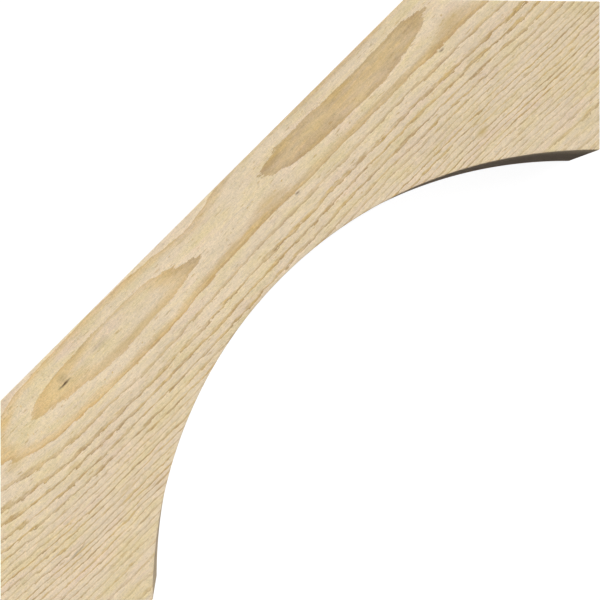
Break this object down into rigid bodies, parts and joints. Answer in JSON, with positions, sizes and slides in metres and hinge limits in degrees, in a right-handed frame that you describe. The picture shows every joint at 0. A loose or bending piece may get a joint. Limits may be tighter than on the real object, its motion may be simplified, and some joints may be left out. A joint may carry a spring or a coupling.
{
  "type": "knee brace",
  "caption": "Solid timber knee brace with a straight 45 degree back and a long sawn arch, fitted in the corner between a post and a beam.",
  "frame": {"origin": "middle of the bounding box, on the broad face that the brace lies on", "axes": "+X leads away from the post, +Y leads up to the beam, +Z is the plank's thickness"},
  "size_m": [0.6096, 0.6096, 0.1397],
  "materials": {
    "timber": "bare, sawn and lightly planed"
  },
  "bodies": {
    "root": {"knee_brace": "timber"}
  },
  "joints": []
}
